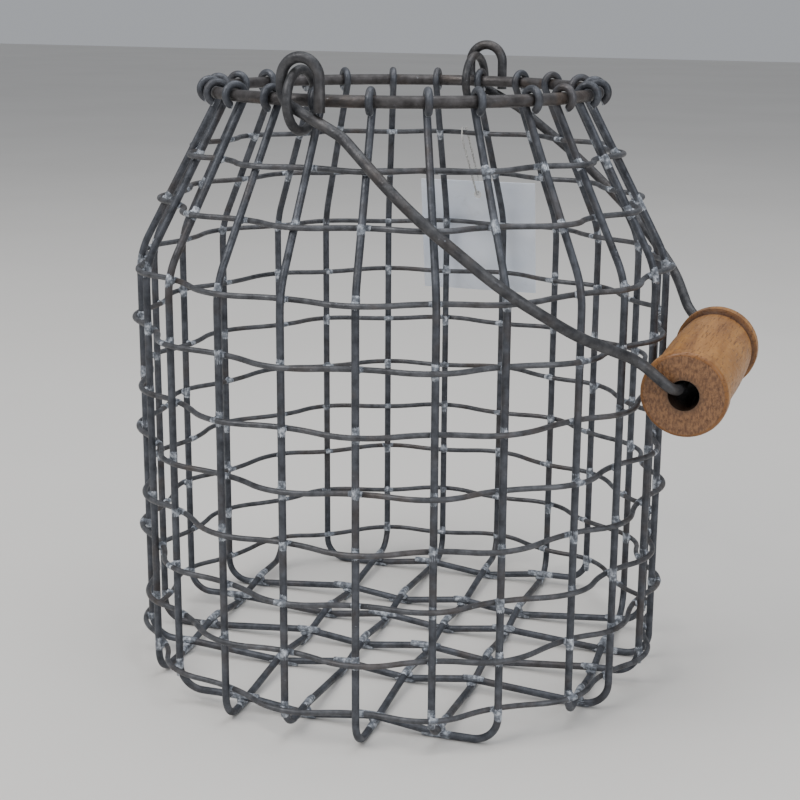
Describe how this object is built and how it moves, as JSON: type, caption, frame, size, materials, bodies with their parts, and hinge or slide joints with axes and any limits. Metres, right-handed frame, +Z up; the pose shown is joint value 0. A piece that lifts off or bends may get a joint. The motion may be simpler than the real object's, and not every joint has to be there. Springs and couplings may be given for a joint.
{
  "type": "egg collection basket",
  "caption": "Round woven wire egg basket with a shouldered rim, a swinging wire handle with a loose turned wooden grip, and a hanging card tag.",
  "frame": {"origin": "on the basket's axis, at the level of the surface it stands on", "axes": "+Z up along the basket's axis; Y is parallel to the axis the handle swings about; the handle lies down towards +X at rest"},
  "size_m": [0.24, 0.2149, 0.2373],
  "materials": {
    "rim_wire": "dark oxidised, satin",
    "upright_wire": "dark dipped, satin",
    "hoop_wire": "dark dipped, satin",
    "ear_ring": "dark, satin",
    "bail_wire": "dark, satin",
    "grip_wood": "lightly varnished",
    "tag_card": "coated card, matte",
    "tag_loop": "translucent thread, satin"
  },
  "bodies": {
    "basket": {"rim_wire": "rim_wire", "long_wire_1": "upright_wire", "long_wire_2": "upright_wire", "long_wire_3": "upright_wire", "long_wire_4": "upright_wire", "long_wire_5": "upright_wire", "long_wire_6": "upright_wire", "cross_wire_1": "upright_wire", "cross_wire_2": "upright_wire", "cross_wire_3": "upright_wire", "cross_wire_4": "upright_wire", "cross_wire_5": "upright_wire", "cross_wire_6": "upright_wire", "hoop_wire_01": "hoop_wire", "hoop_wire_02": "hoop_wire", "hoop_wire_03": "hoop_wire", "hoop_wire_04": "hoop_wire", "hoop_wire_05": "hoop_wire", "hoop_wire_06": "hoop_wire", "hoop_wire_07": "hoop_wire", "hoop_wire_08": "hoop_wire", "hoop_wire_09": "hoop_wire", "hoop_wire_10": "hoop_wire"},
    "near_ring": {"near_ear_ring": "ear_ring"},
    "far_ring": {"far_ear_ring": "ear_ring"},
    "handle": {"bail_wire": "bail_wire"},
    "grip": {"wooden_grip": "grip_wood"},
    "tag": {"tag_card": "tag_card", "tag_loop": "tag_loop"}
  },
  "joints": [
    {"name": "bail_swing", "type": "hinge", "parent": "basket", "child": "handle", "pos_m": [0, 0, 0.2283], "axis": [0, -1, 0], "range_deg": [0, 260]},
    {"name": "grip_spin", "type": "hinge", "parent": "handle", "child": "grip", "pos_m": [0.11865, 0, 0.1264], "axis": [-0.082, 0.9944, 0.0664], "continuous": true},
    {"name": "near_ring_turn", "type": "hinge", "parent": "basket", "child": "near_ring", "pos_m": [-0.0026, -0.0742, 0.221], "axis": [1, 0, 0], "continuous": true},
    {"name": "far_ring_turn", "type": "hinge", "parent": "basket", "child": "far_ring", "pos_m": [-0.0026, 0.0742, 0.221], "axis": [1, 0, 0], "continuous": true},
    {"name": "tag_swing", "type": "hinge", "parent": "basket", "child": "tag", "pos_m": [-0.00938, 0.07815, 0.199], "axis": [0.9929, 0.1192, 0], "range_deg": [0, 90]}
  ]
}
